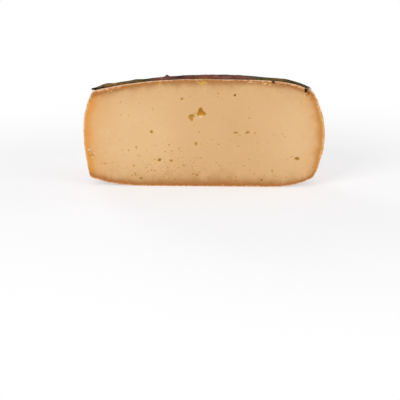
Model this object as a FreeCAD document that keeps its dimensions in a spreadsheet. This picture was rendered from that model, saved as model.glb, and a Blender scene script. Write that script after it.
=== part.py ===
"""Half wheel of fromadzo, a semi-hard mountain cheese, with the paper label on its crown.

The wheel is lofted through round levels, domed above and dished below, then cut in half
through its axis and opened by the largest of the eyes that show on the cut. The label is
a thin domed disc with an uneven rim, cut through with the wheel.

Frame: +Z up, millimetres. The cut face looks along -Y. The origin lies on the resting
plane, midway between the cut face and the back of the wheel, under the wheel's axis.
"""
import FreeCAD, Part
import math
import os

import Sketcher

DIMENSIONS = {
    # The wheel before it was cut.
    "wheel_radius": 120.5,
    "wheel_height": 108.6,
    "crown_curve": 560.0,
    "crown_shift": 6.0,
    "rest_inset": 48.5,
    "base_curve": 80.0,
    "crown_fillet": 6.0,
    "base_fillet": 4.0,
    # Levels of the side, counted up from the resting plane or down from the crown.
    "foot_level": 20.0,
    "belly_low_level": 40.0,
    "belly_high_level": 60.0,
    "shoulder_drop": 25.0,
    # How far the side stands inside the wheel's radius at each level, left and right.
    "under_left": 13.0,
    "under_right": 19.5,
    "foot_left": 4.8,
    "foot_right": 6.5,
    "belly_low_left": 0.8,
    "belly_low_right": 1.0,
    "belly_high_left": 0.0,
    "belly_high_right": 0.0,
    "shoulder_left": 4.0,
    "shoulder_right": 5.0,
    "crown_left": 17.0,
    "crown_right": 18.5,
    # The label: its rim lies inside the wheel's radius by the margin.
    "paper_thickness": 0.4,
    "label_margin": 11.5,
    "label_shift": -2.0,
    "label_wave": 1.2,
}

# Shapes that cut or trim the wheel reach past it by this much.
REACH = 5.0

# Each level of the side: its name, and its height as an expression of the sheet. The
# lowest lies under the resting plane, where the base trims it off.
LEVELS = {
    "under": f"-{REACH}",
    "foot": "dims.foot_level",
    "belly_low": "dims.belly_low_level",
    "belly_high": "dims.belly_high_level",
    "shoulder": "dims.wheel_height - dims.shoulder_drop",
    "crown": "dims.wheel_height",
}

# The eyes large enough to be part of the form: each one's place across from the axis and
# above the middle of the wheel's height, its radius, and how deep its centre lies.
EYES = {
    "main_right": (-2.5, 21.7, 4.3, 1.0),
    "main_left": (-11.5, 16.7, 3.1, 0.8),
    "upper_left": (-21.5, 33.7, 1.6, 0.4),
    "upper_right": (31.0, 38.2, 1.6, 0.4),
    "centre_left": (-51.5, 1.2, 1.8, 0.5),
    "centre_low": (-7.5, -11.3, 2.1, 0.6),
    "row_left": (31.5, 0.7, 1.8, 0.5),
    "row_right": (43.5, 1.2, 2.2, 0.6),
    "low_left": (-44.5, -27.3, 2.0, 0.6),
    "low_centre": (-32.5, -28.3, 1.8, 0.5),
    "low_right": (94.0, -24.3, 2.4, 0.7),
}

PARTS_FOLDER = "parts"
SHEET = "dims"
# The uneven rim of the label: waves a turn, share of the wave's height, and phase.
RIM_WAVES = ((5, 0.5, 0.4), (9, 0.3, 1.9), (17, 0.2, 0.7))
RIM_POINTS = 73
UP = FreeCAD.Vector(0, 0, 1)
# The side's seam, in degrees from the right-hand end of the cut: it lies in the half that
# is taken away, well apart from the seams of the crown and the base.
SEAM_TURN = -50


def make_sheet(doc):
    """The spreadsheet that holds every driving dimension under its own alias."""
    sheet = doc.addObject("Spreadsheet::Sheet", SHEET)
    cells = dict(DIMENSIONS)
    for name, sizes in EYES.items():
        for what, value in zip(("across", "rise", "radius", "inset"), sizes):
            cells[f"eye_{name}_{what}"] = value
    for row, (alias, value) in enumerate(cells.items(), start=1):
        sheet.set(f"A{row}", alias)
        sheet.set(f"B{row}", str(value))
        sheet.setAlias(f"B{row}", alias)
    doc.recompute()
    return sheet


def origin_feature(body, role):
    """The body's own origin plane or axis with this role."""
    return next(feature for feature in body.Origin.OriginFeatures if feature.Role == role)


def new_sketch(body, name, role):
    """An empty sketch on one of the body's origin planes."""
    sketch = body.newObject("Sketcher::SketchObject", name)
    sketch.AttachmentSupport = [(origin_feature(body, role), "")]
    sketch.MapMode = "FlatFace"
    return sketch


def bind(sketch, name, constraint, expression):
    """Adds a named constraint to the sketch, its value bound to the sheet."""
    index = sketch.addConstraint(constraint)
    sketch.renameConstraint(index, name)
    sketch.setExpression(f"Constraints.{name}", expression)


def add_level(body, sheet, level, height):
    """The wheel's round outline at one level, moved towards the side that stands out more."""
    sketch = new_sketch(body, f"{level}_level", "XY_Plane")
    turned = FreeCAD.Rotation(UP, SEAM_TURN)
    sketch.AttachmentOffset = FreeCAD.Placement(FreeCAD.Vector(), turned)
    shift = f"(dims.{level}_left - dims.{level}_right) / 2"
    sketch.setExpression("AttachmentOffset.Base.x", shift)
    sketch.setExpression("AttachmentOffset.Base.z", height)
    sketch.addGeometry(Part.Circle(FreeCAD.Vector(), UP, sheet.wheel_radius))
    sketch.addConstraint(Sketcher.Constraint("Coincident", 0, 3, -1, 1))
    inset = f"(dims.{level}_left + dims.{level}_right) / 2"
    radius = Sketcher.Constraint("Radius", 0, sheet.wheel_radius)
    bind(sketch, "radius", radius, f"dims.wheel_radius - {inset}")
    return sketch


def add_side(body, sheet):
    """The barrel of the wheel, lofted through its levels."""
    levels = [add_level(body, sheet, level, height) for level, height in LEVELS.items()]
    side = body.newObject("PartDesign::AdditiveLoft", "side")
    side.Profile = levels[0]
    side.Sections = levels[1:]
    return side


def add_outline(sketch, arc, points):
    """Closes an arc into an outline with straight lines through the points, in order."""
    sketch.addGeometry(arc)
    corners = [arc.EndPoint, *points, arc.StartPoint]
    for near, far in zip(corners, corners[1:]):
        sketch.addGeometry(Part.LineSegment(near, far))
    last = len(points) + 1
    for line in range(last):
        sketch.addConstraint(Sketcher.Constraint("Coincident", line, 2, line + 1, 1))
    sketch.addConstraint(Sketcher.Constraint("Coincident", last, 2, 0, 1))


def add_groove(body, name, sketch):
    """Turns the sketch once round its own upright axis and takes that away."""
    groove = body.newObject("PartDesign::Groove", name)
    groove.Profile = sketch
    groove.ReferenceAxis = (sketch, ["V_Axis"])
    groove.Angle = 360
    return groove


def add_crown(body, sheet):
    """Takes away what stands above the crown, a shallow dome with its top off the axis."""
    sketch = new_sketch(body, "crown_profile", "YZ_Plane")
    sketch.setExpression("AttachmentOffset.Base.z", "dims.crown_shift")
    curve = sheet.crown_curve
    peak = sheet.wheel_height
    span = sheet.wheel_radius + REACH
    circle = Part.Circle(FreeCAD.Vector(0, peak - curve, 0), UP, curve)
    arc = Part.ArcOfCircle(circle, math.pi / 2, math.pi / 2 + math.asin(span / curve))
    top = peak + REACH
    add_outline(sketch, arc, [FreeCAD.Vector(-span, top, 0), FreeCAD.Vector(0, top, 0)])
    sketch.addConstraint(Sketcher.Constraint("PointOnObject", 0, 3, -2))
    sketch.addConstraint(Sketcher.Constraint("PointOnObject", 0, 1, -2))
    sketch.addConstraint(Sketcher.Constraint("Vertical", 1))
    sketch.addConstraint(Sketcher.Constraint("Horizontal", 2))
    sketch.addConstraint(Sketcher.Constraint("Vertical", 3))
    bind(sketch, "curve", Sketcher.Constraint("Radius", 0, curve), "dims.crown_curve")
    height = Sketcher.Constraint("DistanceY", -1, 1, 0, 1, peak)
    bind(sketch, "height", height, "dims.wheel_height")
    width = Sketcher.Constraint("DistanceX", 0, 2, -1, 1, span)
    bind(sketch, "width", width, f"dims.wheel_radius + {REACH}")
    above = Sketcher.Constraint("DistanceY", 0, 1, 3, 1, REACH)
    bind(sketch, "above", above, f"{REACH}")
    return add_groove(body, "crown", sketch)


def add_base(body, sheet):
    """Takes away what lies under the base: a round flat spot with a dish's rim round it."""
    sketch = new_sketch(body, "base_profile", "YZ_Plane")
    curve = sheet.base_curve
    rest = sheet.wheel_radius - sheet.rest_inset
    span = sheet.wheel_radius + REACH
    circle = Part.Circle(FreeCAD.Vector(-rest, curve, 0), UP, curve)
    down = 1.5 * math.pi
    arc = Part.ArcOfCircle(circle, down - math.asin((span - rest) / curve), down)
    low = -2 * REACH
    corners = [FreeCAD.Vector(x, z, 0) for x, z in ((0, 0), (0, low), (-span, low))]
    add_outline(sketch, arc, corners)
    sketch.addConstraint(Sketcher.Constraint("Coincident", 1, 2, -1, 1))
    sketch.addConstraint(Sketcher.Constraint("Horizontal", 1))
    sketch.addConstraint(Sketcher.Constraint("Vertical", 2))
    sketch.addConstraint(Sketcher.Constraint("Horizontal", 3))
    sketch.addConstraint(Sketcher.Constraint("Vertical", 4))
    sketch.addConstraint(Sketcher.Constraint("Vertical", 0, 3, 0, 2))
    bind(sketch, "curve", Sketcher.Constraint("Radius", 0, curve), "dims.base_curve")
    flat = Sketcher.Constraint("DistanceX", 1, 1, 1, 2, rest)
    bind(sketch, "flat", flat, "dims.wheel_radius - dims.rest_inset")
    width = Sketcher.Constraint("DistanceX", 3, 2, 3, 1, span)
    bind(sketch, "width", width, f"dims.wheel_radius + {REACH}")
    under = Sketcher.Constraint("DistanceY", 2, 2, 2, 1, -low)
    bind(sketch, "under", under, f"2 * {REACH}")
    return add_groove(body, "base", sketch)


def rims(shape, low, high):
    """Names of the edges that run round the back of the half wheel between two heights."""
    names = []
    for number, edge in enumerate(shape.Edges, start=1):
        box = edge.BoundBox
        if box.ZMin > low and box.ZMax < high and box.YMax > REACH:
            names.append(f"Edge{number}")
    return names


def add_fillet(body, name, base, edges, radius):
    """Rounds the named edges of the feature before it."""
    fillet = body.newObject("PartDesign::Fillet", name)
    fillet.Base = (base, edges)
    fillet.setExpression("Radius", radius)
    return fillet


def add_cut(body, sheet):
    """Cuts the wheel through its axis and takes the front half away."""
    sketch = new_sketch(body, "cut_outline", "XZ_Plane")
    side = sheet.wheel_radius + REACH
    top = sheet.wheel_height + REACH
    corners = [(-side, -REACH), (side, -REACH), (side, top), (-side, top)]
    points = [FreeCAD.Vector(x, z, 0) for x, z in corners]
    for near, far in zip(points, points[1:] + points[:1]):
        sketch.addGeometry(Part.LineSegment(near, far))
    for line in range(len(points)):
        joined = (line + 1) % len(points)
        sketch.addConstraint(Sketcher.Constraint("Coincident", line, 2, joined, 1))
    sketch.addConstraint(Sketcher.Constraint("Vertical", 1))
    sketch.addConstraint(Sketcher.Constraint("Horizontal", 2))
    sketch.addConstraint(Sketcher.Constraint("Vertical", 3))
    sketch.addConstraint(Sketcher.Constraint("Symmetric", 0, 1, 0, 2, -2))
    width = Sketcher.Constraint("DistanceX", 0, 1, 0, 2, 2 * side)
    bind(sketch, "width", width, f"2 * (dims.wheel_radius + {REACH})")
    under = Sketcher.Constraint("DistanceY", 0, 1, -1, 1, REACH)
    bind(sketch, "under", under, f"{REACH}")
    height = Sketcher.Constraint("DistanceY", 1, 1, 1, 2, top + REACH)
    bind(sketch, "height", height, f"dims.wheel_height + 2 * {REACH}")
    pocket = body.newObject("PartDesign::Pocket", "half_cut")
    pocket.Profile = sketch
    pocket.Type = "Length"
    pocket.Reversed = True
    pocket.setExpression("Length", f"dims.wheel_radius + {REACH}")
    return pocket


def add_eye(body, name):
    """One round eye, opened by the cut."""
    eye = body.newObject("PartDesign::SubtractiveSphere", f"eye_{name}")
    eye.AttachmentSupport = [(origin_feature(body, "XZ_Plane"), "")]
    eye.MapMode = "FlatFace"
    eye.setExpression("Radius", f"dims.eye_{name}_radius")
    eye.setExpression("AttachmentOffset.Base.x", f"dims.eye_{name}_across")
    rise = f"dims.wheel_height / 2 + dims.eye_{name}_rise"
    eye.setExpression("AttachmentOffset.Base.y", rise)
    eye.setExpression("AttachmentOffset.Base.z", f"-dims.eye_{name}_inset")
    return eye


def build_cheese(doc, sheet):
    """The half wheel, made with its cut face through the axis and then moved into place."""
    body = doc.addObject("PartDesign::Body", "cheese")
    body.Label = "cheese"
    add_side(body, sheet)
    add_crown(body, sheet)
    wheel = add_base(body, sheet)
    half = add_cut(body, sheet)
    doc.recompute()
    # A cut that points away from the wheel leaves it whole and shows no error.
    if half.Shape.Volume > 0.9 * wheel.Shape.Volume:
        raise RuntimeError("the cut took no half away")
    shoulder = sheet.wheel_height - sheet.shoulder_drop
    upper = rims(half.Shape, shoulder, sheet.wheel_height)
    crown_rim = add_fillet(body, "crown_rim", half, upper, "dims.crown_fillet")
    doc.recompute()
    lower = rims(crown_rim.Shape, sheet.base_fillet, sheet.belly_low_level)
    add_fillet(body, "base_rim", crown_rim, lower, "dims.base_fillet")
    for name in EYES:
        add_eye(body, name)
    body.setExpression("Placement.Base.y", "-dims.wheel_radius / 2")
    return body


def rim_radius(sheet, turn):
    """The label's radius towards one direction: a circle with a few small waves added."""
    waves = sum(share * math.sin(count * turn + phase) for count, share, phase in RIM_WAVES)
    return sheet.wheel_radius - sheet.label_margin + sheet.label_wave * waves


def build_label_outline(doc, sheet):
    """An upright prism over the label's half disc, with its uneven rim."""
    points = []
    for step in range(RIM_POINTS):
        turn = math.pi * step / (RIM_POINTS - 1)
        radius = rim_radius(sheet, turn)
        points.append(FreeCAD.Vector(radius * math.cos(turn), radius * math.sin(turn), 0))
    rim = Part.BSplineCurve()
    rim.interpolate(points)
    cut = Part.LineSegment(points[-1], points[0])
    face = Part.Face(Part.Wire([rim.toShape(), cut.toShape()]))
    foot = sheet.wheel_height - sheet.shoulder_drop
    face.translate(FreeCAD.Vector(sheet.label_shift, 0, foot))
    prism = doc.addObject("Part::Feature", "label_outline")
    prism.Shape = face.extrude(UP * (sheet.shoulder_drop + REACH))
    return prism


def build_label(doc, sheet):
    """The paper label: the dome between the crown and one paper's thickness above it."""
    dome = doc.addObject("Part::Sphere", "label_dome")
    dome.setExpression("Radius", "dims.crown_curve + dims.paper_thickness")
    bed = doc.addObject("Part::Sphere", "label_bed")
    bed.setExpression("Radius", "dims.crown_curve")
    on_its_side = FreeCAD.Rotation(FreeCAD.Vector(1, 0, 0), 90)
    for ball in (dome, bed):
        ball.Placement = FreeCAD.Placement(FreeCAD.Vector(), on_its_side)
        ball.setExpression("Placement.Base.x", "dims.crown_shift")
        ball.setExpression("Placement.Base.z", "dims.wheel_height - dims.crown_curve")
    paper = doc.addObject("Part::Cut", "label_paper")
    paper.Base = dome
    paper.Tool = bed
    label = doc.addObject("Part::Common", "label")
    label.Label = "label"
    label.Base = paper
    label.Tool = build_label_outline(doc, sheet)
    label.setExpression("Placement.Base.y", "-dims.wheel_radius / 2")
    return label


def check(doc, nodes):
    """Stops if any object failed or any node has no sound shape."""
    for item in doc.Objects:
        if {"Invalid", "Error"} & set(item.State):
            raise RuntimeError(f"{item.Name} failed: {item.State}")
    for node in nodes:
        if node.Shape.isNull() or not node.Shape.isValid():
            raise RuntimeError(f"{node.Label} has no sound shape")


def main():
    """Builds the document and writes each node's shape to its own file."""
    doc = FreeCAD.newDocument("half_wheel")
    sheet = make_sheet(doc)
    nodes = [build_cheese(doc, sheet), build_label(doc, sheet)]
    doc.recompute()
    check(doc, nodes)
    os.makedirs(PARTS_FOLDER, exist_ok=True)
    for node in nodes:
        node.Shape.exportStep(os.path.join(PARTS_FOLDER, f"{node.Label}.step"))
        print(f"{node.Label}: {node.Shape.Volume:.0f} mm3, {len(node.Shape.Solids)} solid")


main()
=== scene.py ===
# %% [markdown]
# # Half a wheel of mountain cheese
#
# A small wheel of semi-hard mountain cheese has been cut through its middle. What shows is the pale,
# springy paste with its few small eyes, the thin washed rind round it, and on top half of the round
# paper that a dairy glues to its wheels. This lesson builds those three things as three closed meshes,
# each one a surface worked out from a formula, and gives each the finish of the real stuff.
#
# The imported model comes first: it says where the cheese and its paper are, and nothing here moves it.

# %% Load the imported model
import functools
import itertools
import math

import bpy
import numpy as np
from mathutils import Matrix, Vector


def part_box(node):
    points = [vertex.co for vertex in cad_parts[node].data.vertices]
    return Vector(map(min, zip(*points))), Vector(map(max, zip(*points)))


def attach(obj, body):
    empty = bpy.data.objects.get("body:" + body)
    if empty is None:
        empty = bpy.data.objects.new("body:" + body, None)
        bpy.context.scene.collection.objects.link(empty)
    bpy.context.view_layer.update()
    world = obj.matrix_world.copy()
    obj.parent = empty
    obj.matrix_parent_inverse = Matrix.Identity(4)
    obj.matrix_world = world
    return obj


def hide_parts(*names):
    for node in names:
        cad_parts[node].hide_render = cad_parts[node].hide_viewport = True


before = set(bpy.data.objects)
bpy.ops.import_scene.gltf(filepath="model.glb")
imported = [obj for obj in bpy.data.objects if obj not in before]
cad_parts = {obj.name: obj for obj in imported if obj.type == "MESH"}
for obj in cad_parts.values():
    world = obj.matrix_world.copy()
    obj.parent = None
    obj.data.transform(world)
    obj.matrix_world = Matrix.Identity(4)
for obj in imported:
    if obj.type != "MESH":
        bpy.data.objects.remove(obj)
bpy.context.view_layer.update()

# %% [markdown]
# Blender counts in metres, but a cheese is easier to think of in millimetres, so every shape below is
# worked out in millimetres and scaled once, when it is written into its mesh. The cut lies in an
# upright plane, and the wheel's axis stands in that plane, so a point of the wheel is an angle round
# the axis, from 0 at the right-hand end of the cut to half a turn at the left-hand end, and a place on
# the outline that is turned round the axis.

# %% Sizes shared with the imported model
MM = 0.001
cheese_low, cheese_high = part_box("cheese")
CUT = cheese_low.y / MM
TOP = cheese_high.z / MM
WHEEL_RADIUS = 120.5
LABEL_RADIUS = 109.0
LABEL_SHIFT = -2.0
HALF_TURN = math.pi
print("cut at y", round(CUT, 2), "mm, top at z", round(TOP, 2), "mm")

# %% [markdown]
# ## The outline of the wheel
#
# A wheel sags a little while it ripens: its side bulges, its foot draws in, its crown is a very flat
# dome, and it stands on the flat middle of its base. The side could be a spline that is pushed about by
# hand. Here it is a curve through six heights, which says how far the side stands in from the widest
# circle at each, once for the left end of the cut and once for the right, with a smooth turn from one
# to the other round the back.

# %% Side, crown and base
HEIGHTS = np.array([-5.0, 20.0, 40.0, 60.0, 83.6, 108.6])
INSET_LEFT = np.array([9.8, 3.4, 0.5, 0.0, 3.9, 17.0])
INSET_RIGHT = np.array([19.5, 5.7, 0.7, 0.0, 6.0, 19.5])
CROWN_DROP, CROWN_REACH = (9.8, 11.0), 105.0
CROWN_POWER = (5.2, 2.3)
CROWN_BACK = (520.0, 310.0)
BULGE_SHIFT = 14.0
REST_RADIUS = (70.0, 60.0)
BASE_CURVE = (85.0, 170.0)
left_curve = np.polyfit(HEIGHTS, INSET_LEFT, len(HEIGHTS) - 1)
right_curve = np.polyfit(HEIGHTS, INSET_RIGHT, len(HEIGHTS) - 1)


def leftness(turn):
    """Nought at the right-hand end of the cut, one at the left-hand end, by the cosine of the angle."""
    return (1 - np.cos(turn)) / 2


def towards_left(pair, share):
    """The first number of a pair at share nought, the second at share one."""
    return pair[0] + (pair[1] - pair[0]) * share


def side_radius(z, turn):
    """The widest radius less the inset at this height, which turns from the right's into the left's."""
    inset = np.polyval(right_curve, z), np.polyval(left_curve, z)
    return WHEEL_RADIUS - towards_left(inset, leftness(turn))


def crown_height(radius, turn):
    """The top less a power of the distance across, and less a ball's drop towards the back.

    The power is high on the right, which stays flat and then falls off, and near two on the left.
    """
    across, back = radius * np.cos(turn), radius * np.sin(turn)
    left_share = np.clip(0.5 - across / 60, 0, 1)
    power = towards_left(CROWN_POWER, left_share)
    drop = towards_left(CROWN_DROP, left_share) * (np.abs(across) / CROWN_REACH) ** power
    outer_share = np.clip(np.abs(across - BULGE_SHIFT) / 60, 0, 1)
    outer_share = outer_share**2 * (3 - 2 * outer_share)
    return TOP - drop - back**2 / (2 * towards_left(CROWN_BACK, outer_share))


def base_height(radius, turn):
    """Nought on the flat spot, and outside it the lowest part of a circle that starts level."""
    curve = towards_left(BASE_CURVE, leftness(turn))
    out = np.clip(radius - towards_left(REST_RADIUS, leftness(turn)), 0, curve * 0.9)
    return curve - np.sqrt(curve**2 - out**2)


print("side at mid height:", round(float(side_radius(54.0, 0.0)), 2), "mm")

# %% [markdown]
# The three curves meet at two corners, and a ripe wheel has no sharp corner anywhere. The corners are
# found by stepping from one curve to the other until nothing moves. Then the path along base, side and
# crown is softened there by a weighted mean of its neighbours, which rounds a corner as a fillet does
# but keeps the whole outline one formula.

# %% One path from the middle of the base to the middle of the crown
BASE_RUN, SIDE_RUN, CROWN_RUN = 110.0, 92.0, 110.0
FOOT, SHOULDER, PATH = BASE_RUN, BASE_RUN + SIDE_RUN, BASE_RUN + SIDE_RUN + CROWN_RUN
FOOT_SOFTNESS, SHOULDER_SOFTNESS = 1.15, 2.3
SOFT_REACH = 13.0
FIRST_GUESS, SETTLING_STEPS = 108.0, 25
TAPS = np.linspace(-2.4, 2.4, 13)
TAP_WEIGHTS = np.exp(-TAPS**2 / 2) / np.exp(-TAPS**2 / 2).sum()


def corner_radii(turn):
    """Radius of the foot and of the shoulder: each step takes the height there and looks up the side."""
    foot = np.full_like(turn, FIRST_GUESS)
    shoulder = np.full_like(turn, FIRST_GUESS)
    for _ in range(SETTLING_STEPS):
        foot = side_radius(base_height(foot, turn), turn)
        shoulder = side_radius(crown_height(shoulder, turn), turn)
    return foot, shoulder


def raw_path(turn, along):
    """Radius and height at a length along base, side or crown, each run by its own share."""
    foot, shoulder = corner_radii(turn)
    on_base = foot * along / BASE_RUN
    rise = np.clip((along - FOOT) / SIDE_RUN, 0, 1)
    foot_z, shoulder_z = base_height(foot, turn), crown_height(shoulder, turn)
    side_z = foot_z + rise * (shoulder_z - foot_z)
    on_crown = shoulder * np.clip((PATH - along) / CROWN_RUN, 0, 1)
    radius = np.where(along < FOOT, on_base, np.where(along < SHOULDER, side_radius(side_z, turn), on_crown))
    above_foot = np.where(along < SHOULDER, side_z, crown_height(on_crown, turn))
    height = np.where(along < FOOT, base_height(on_base, turn), above_foot)
    return radius, height


def soft_path(turn, along):
    """The raw path averaged with bell-shaped weights, over a width that is nought away from the corners."""
    width = FOOT_SOFTNESS * np.clip(1 - ((along - FOOT) / SOFT_REACH) ** 2, 0, 1)
    width = width + SHOULDER_SOFTNESS * np.clip(1 - ((along - SHOULDER) / SOFT_REACH) ** 2, 0, 1)
    radius, height = 0.0, 0.0
    for tap, weight in zip(TAPS, TAP_WEIGHTS):
        one_radius, one_height = raw_path(turn, along + tap * width)
        radius = radius + weight * one_radius
        height = height + weight * one_height
    return radius, height


def outward(turn, along, step=0.4):
    """The way out of the cheese in the plane of the path: the path's direction turned by a right angle."""
    before_radius, before_height = soft_path(turn, np.clip(along - step, 0, PATH))
    after_radius, after_height = soft_path(turn, np.clip(along + step, 0, PATH))
    out_radius, out_height = after_height - before_height, before_radius - after_radius
    length = np.hypot(out_radius, out_height)
    return out_radius / length, out_height / length


def turned(turn, radius, height):
    """A point at a radius, an angle and a height; both ends of the turn stay in the plane of the cut."""
    back = np.where(np.isclose(np.sin(turn), 0, atol=1e-9), 0.0, radius * np.sin(turn))
    return np.stack(np.broadcast_arrays(radius * np.cos(turn), CUT + back, height), axis=-1)


ends = np.array([0.0, HALF_TURN])
print("foot and shoulder radii at the ends:", [np.round(found, 1) for found in corner_radii(ends)])

# %% [markdown]
# ## Unevenness
#
# Nothing on a cheese is smooth for long. Value noise is the simplest unevenness there is: random
# numbers at the corners of a lattice of cubes, blended in between. The lattice fills space, so the
# noise has no seam where a surface closes on itself, and a seed makes it the same on each run.

# %% Noise in space
LATTICE = 64


def unevenness(points, size, seed):
    """Value noise from -1 to 1: lattice numbers `size` mm apart, mixed by a smooth step on each axis."""
    at = points / size
    cell = np.floor(at).astype(int)
    share = at - cell
    share = share * share * (3 - 2 * share)
    lattice = np.random.default_rng(seed).uniform(-1, 1, (LATTICE, LATTICE, LATTICE))
    total = 0.0
    for corner in itertools.product((0, 1), repeat=3):
        weight = np.prod(np.where(np.array(corner), share, 1 - share), axis=-1)
        total = total + weight * lattice[tuple(np.moveaxis((cell + corner) % LATTICE, -1, 0))]
    return total


print("noise at one point:", round(float(unevenness(np.array([[3.0, 4.0, 5.0]]), 2.0, 1)[0]), 3))

# %% [markdown]
# ## From grids to a closed mesh
#
# Each piece is a few grids of points that share their borders. Joining them could be left to a merge
# by distance. Doing it on the arrays is as short, and says at once whether the piece is closed: every
# edge of a closed skin is used once in each direction. Each grid also brings its place on the piece's
# own map and any values that the material will read.

# %% Weld grids into one mesh
SAME_POINT = 1e-4
SHARP_EDGE = math.radians(50)


def patch(points, place, flip=False, **values):
    """A grid of points, its rectangle on the map as (left, low, right, high), and values for each point."""
    rows, columns = points.shape[:2]
    left, low, right, high = place
    across, up = np.meshgrid(np.linspace(left, right, columns), np.linspace(low, high, rows))
    return {"points": points, "map": np.stack([across, up], axis=-1), "flip": flip, "values": values}


def corners_of(grid, start):
    """The four corner numbers of each face of a grid whose first point has the number start."""
    rows, columns = grid["points"].shape[:2]
    number = start + np.arange(rows * columns).reshape(rows, columns)
    ring = [number[:-1, :-1], number[:-1, 1:], number[1:, 1:], number[1:, :-1]]
    quads = np.stack(ring if grid["flip"] else ring[::-1], axis=-1)
    return quads.reshape(-1, 4)


def weld(name, patches, names):
    """One mesh from grids: points are kept once, and a face that loses a corner at a pole has three."""
    points = np.concatenate([grid["points"].reshape(-1, 3) for grid in patches])
    places = np.concatenate([grid["map"].reshape(-1, 2) for grid in patches])
    starts = np.cumsum([0] + [grid["points"][..., 0].size for grid in patches])
    quads = np.concatenate([corners_of(grid, start) for grid, start in zip(patches, starts)])
    cells = np.round(points / SAME_POINT).astype(np.int64)
    _, first, kept = np.unique(cells, axis=0, return_index=True, return_inverse=True)
    kept = kept.ravel()
    shared = kept[quads]
    stays = shared != np.roll(shared, -1, axis=1)
    whole = stays.sum(axis=1) > 2
    shared, stays, quads = shared[whole], stays[whole], quads[whole]
    loops, counts = shared[stays], stays.sum(axis=1)
    mesh = bpy.data.meshes.new(name)
    mesh.vertices.add(len(first))
    mesh.vertices.foreach_set("co", (points[first] * MM).ravel())
    mesh.loops.add(len(loops))
    mesh.loops.foreach_set("vertex_index", loops)
    mesh.polygons.add(len(counts))
    mesh.polygons.foreach_set("loop_start", np.cumsum(counts) - counts)
    own_map = mesh.uv_layers.new(name="OFBake")
    own_map.uv.foreach_set("vector", places[quads[stays]].astype(np.float32).ravel())
    for value in names:
        every = np.concatenate([
            np.broadcast_to(grid["values"].get(value, 0.0), grid["points"].shape[:2]).ravel()
            for grid in patches
        ])
        stored = mesh.attributes.new(value, "FLOAT", "POINT")
        stored.data.foreach_set("value", every[first].astype(np.float32))
    mesh.update(calc_edges=True)
    mesh.validate()
    mesh.polygons.foreach_set("use_smooth", np.ones(len(mesh.polygons), dtype=bool))
    mesh.set_sharp_from_angle(angle=SHARP_EDGE)
    piece = bpy.data.objects.new(name, mesh)
    bpy.context.scene.collection.objects.link(piece)
    report(name, mesh)
    return piece


def read(things, name, width=1, kind=int):
    """One number, or a few, of everything in one of a mesh's lists."""
    numbers = np.empty(len(things) * width, dtype=kind)
    things.foreach_get(name, numbers)
    return numbers if width == 1 else numbers.reshape(-1, width)


def report(name, mesh):
    """Prints triangles, whether the skin is closed with all faces turned alike, and the volume inside."""
    start, corner = read(mesh.polygons, "loop_start"), read(mesh.loops, "vertex_index")
    after = np.roll(corner, -1)
    after[np.append(start[1:], len(corner)) - 1] = corner[start]
    one_way = corner * len(mesh.vertices) + after
    other_way = after * len(mesh.vertices) + corner
    closed = len(np.unique(one_way)) == len(one_way) and not len(np.setxor1d(one_way, other_way))
    mesh.calc_loop_triangles()
    where = read(mesh.vertices, "co", 3, float)
    a, b, c = where[read(mesh.loop_triangles, "vertices", 3)].transpose(1, 0, 2)
    volume = np.einsum("ij,ij->i", a, np.cross(b, c)).sum() / 6 * 1e6
    print(f"{name}: {len(a)} triangles, closed {closed}, {volume:.1f} cm3")


print("edges of more than", round(math.degrees(SHARP_EDGE)), "degrees stay sharp")

# %% [markdown]
# ## The rind
#
# The rind is the dried outer two millimetres of the cheese. It is washed with brine and rubbed by hand,
# which leaves it dry and matt, a little lumpy, finely creased along the wheel, and pitted where mites
# and the brush broke it. The lumps and pits are true relief here, so that they throw small shadows from
# every side. What is finer than a millimetre is left to the material.

# %% Where the rows and columns of the rind lie
def graded(start, end, count, power):
    """Lengths from start to end that lie closer together towards the end, by a power of the share left."""
    return start + (end - start) * (1 - (1 - np.linspace(0, 1, count)) ** power)


rind_along = np.concatenate([
    graded(0, FOOT, 73, 1.25)[:-1],
    np.linspace(FOOT, SHOULDER, 96)[:-1],
    graded(PATH, SHOULDER, 61, 1.2)[::-1],
])
rind_turn = np.linspace(0, HALF_TURN, 361)
print("rind grid:", len(rind_turn), "by", len(rind_along))

# %% Lumps, creases and pits
PIT_SEED = 41
STAINS = 22
PITS_EACH = 5
LONE_PITS = 130
LABEL_EDGE = PATH - LABEL_RADIUS


def scattered_pits():
    """Pits gather round stained spots, more of them near the paper and the foot, with some on their own.

    Each row is an angle, a length along the path, a radius in mm, how much longer it is along the
    wheel, and a depth.
    """
    rng = np.random.default_rng(PIT_SEED)
    spots = np.stack([
        rng.uniform(0.12, HALF_TURN - 0.12, STAINS), rng.beta(1.6, 0.9, STAINS) * 104 + 96,
    ], axis=1)
    around = np.repeat(spots, PITS_EACH, axis=0) + rng.normal(0, (0.035, 4.5), (STAINS * PITS_EACH, 2))
    lone = np.stack([rng.uniform(0.06, HALF_TURN - 0.06, LONE_PITS), rng.uniform(75, 206, LONE_PITS)], axis=1)
    places = np.concatenate([around, lone])
    places[:, 0] = np.clip(places[:, 0], 0.05, HALF_TURN - 0.05)
    sizes = rng.uniform(0.6, 1.15, len(places))
    sizes = sizes * rng.choice((0.8, 1.0, 1.4), len(places), p=(0.5, 0.38, 0.12))
    stretch = rng.uniform(0.8, 1.9, len(places))
    depths = sizes * rng.uniform(0.45, 0.8, len(places))
    return np.column_stack([places, sizes, stretch, depths]), spots


def pit_relief(turn, along, pits):
    """Depth in mm, and darkness from 0 to 1: a bell over each stretched round, and the largest wins."""
    depth = np.zeros(np.broadcast(turn, along).shape)
    dark = np.zeros_like(depth)
    for at_turn, at_along, size, stretch, deepest in pits:
        across = (turn - at_turn) * WHEEL_RADIUS / (size * stretch)
        up = (along - at_along) / size
        bell = np.exp(-(across**2 + up**2))
        depth = np.maximum(depth, deepest * bell)
        dark = np.maximum(dark, np.clip(deepest / 0.7, 0.3, 1) * bell**2.2)
    return depth, dark


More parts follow.
